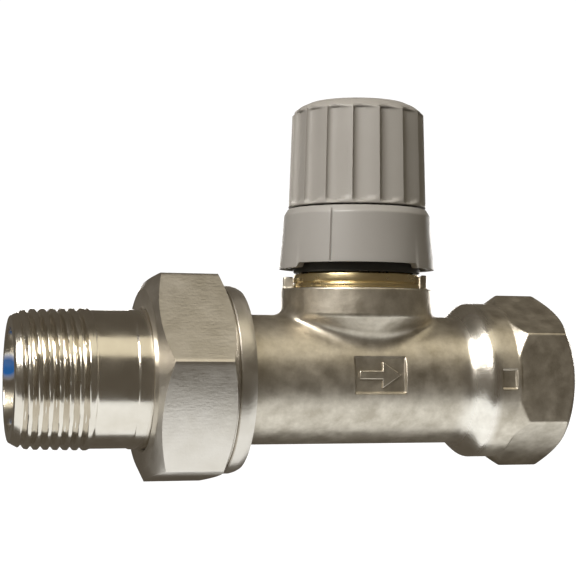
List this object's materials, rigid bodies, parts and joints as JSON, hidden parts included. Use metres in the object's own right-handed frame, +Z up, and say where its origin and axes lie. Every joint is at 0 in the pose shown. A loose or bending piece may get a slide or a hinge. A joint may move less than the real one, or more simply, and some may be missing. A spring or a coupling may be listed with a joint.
{
  "type": "lockshield valve",
  "caption": "Straight lockshield radiator valve: brass body with a neck, port hexagon, union nut and threaded tailpiece, under a ribbed two-part plastic cap.",
  "frame": {"origin": "middle of the female pipe port's end face, on the flow line", "axes": "+X out of the pipe port along the flow line, +Z up along the spindle and cap, -X out of the radiator tailpiece"},
  "size_m": [0.1082, 0.042, 0.0746],
  "materials": {
    "nickel_body": "forged brass with satin nickel plate",
    "nickel_nut": "machined brass with satin nickel plate",
    "nickel_tail": "turned brass with bright nickel plate",
    "bare_brass": "turned bare brass, polished",
    "stainless": "turned stainless steel",
    "black_rubber": "matt moulded rubber",
    "white_ptfe": "waxy white packing",
    "grey_knob": "satin light grey moulded plastic",
    "grey_collar": "satin light grey moulded plastic"
  },
  "bodies": {
    "valve": {"valve_body": "nickel_body", "seat_ring": "stainless", "bonnet": "bare_brass", "bonnet_o_ring": "black_rubber", "gland_packing": "white_ptfe", "gland_nut": "bare_brass", "cap_collar": "grey_collar", "collar_snap_ring": "stainless", "collar_dust_ring": "black_rubber"},
    "cone": {"valve_cone": "bare_brass", "cone_clip": "stainless", "seat_washer": "black_rubber", "washer_screw": "stainless"},
    "stem": {"spindle": "bare_brass", "spindle_o_ring_lower": "black_rubber", "spindle_o_ring_upper": "black_rubber"},
    "cap_seal": {"cap_seal_disc": "black_rubber"},
    "knob": {"cap_knob": "grey_knob"},
    "tail": {"tailpiece": "nickel_tail", "tailpiece_o_ring": "black_rubber", "union_slip_washer": "stainless"},
    "nut": {"union_nut": "nickel_nut"}
  },
  "joints": [
    {"name": "cone_lift", "type": "slide", "parent": "valve", "child": "cone", "axis": [0, 0, 1], "range_m": [0, 0.004]},
    {"name": "spindle_turn", "type": "hinge", "parent": "cone", "child": "stem", "pos_m": [-0.0405, 0, 0.02], "axis": [0, 0, 1], "range_deg": [0, 1152.1]},
    {"name": "cap_lift", "type": "slide", "parent": "valve", "child": "cap_seal", "axis": [0, 0, 1], "range_m": [0, 0.012]},
    {"name": "cap_turn", "type": "hinge", "parent": "cap_seal", "child": "knob", "pos_m": [-0.0405, 0, 0.04], "axis": [0, 0, 1], "range_deg": [0, 2160.2]},
    {"name": "union_part", "type": "slide", "parent": "valve", "child": "tail", "axis": [-1, 0, 0], "range_m": [0, 0.01155]},
    {"name": "nut_turn", "type": "hinge", "parent": "tail", "child": "nut", "pos_m": [-0.0755, 0, 0], "axis": [-1, 0, 0], "range_deg": [0, 1800]}
  ],
  "couplings": [
    {"joint": "spindle_turn", "follows": "cone_lift", "rad_per_m": 5026.5},
    {"joint": "cap_turn", "follows": "cap_lift", "rad_per_m": 3141.6},
    {"joint": "union_part", "follows": "nut_turn", "m_per_rad": 0.00036749}
  ]
}
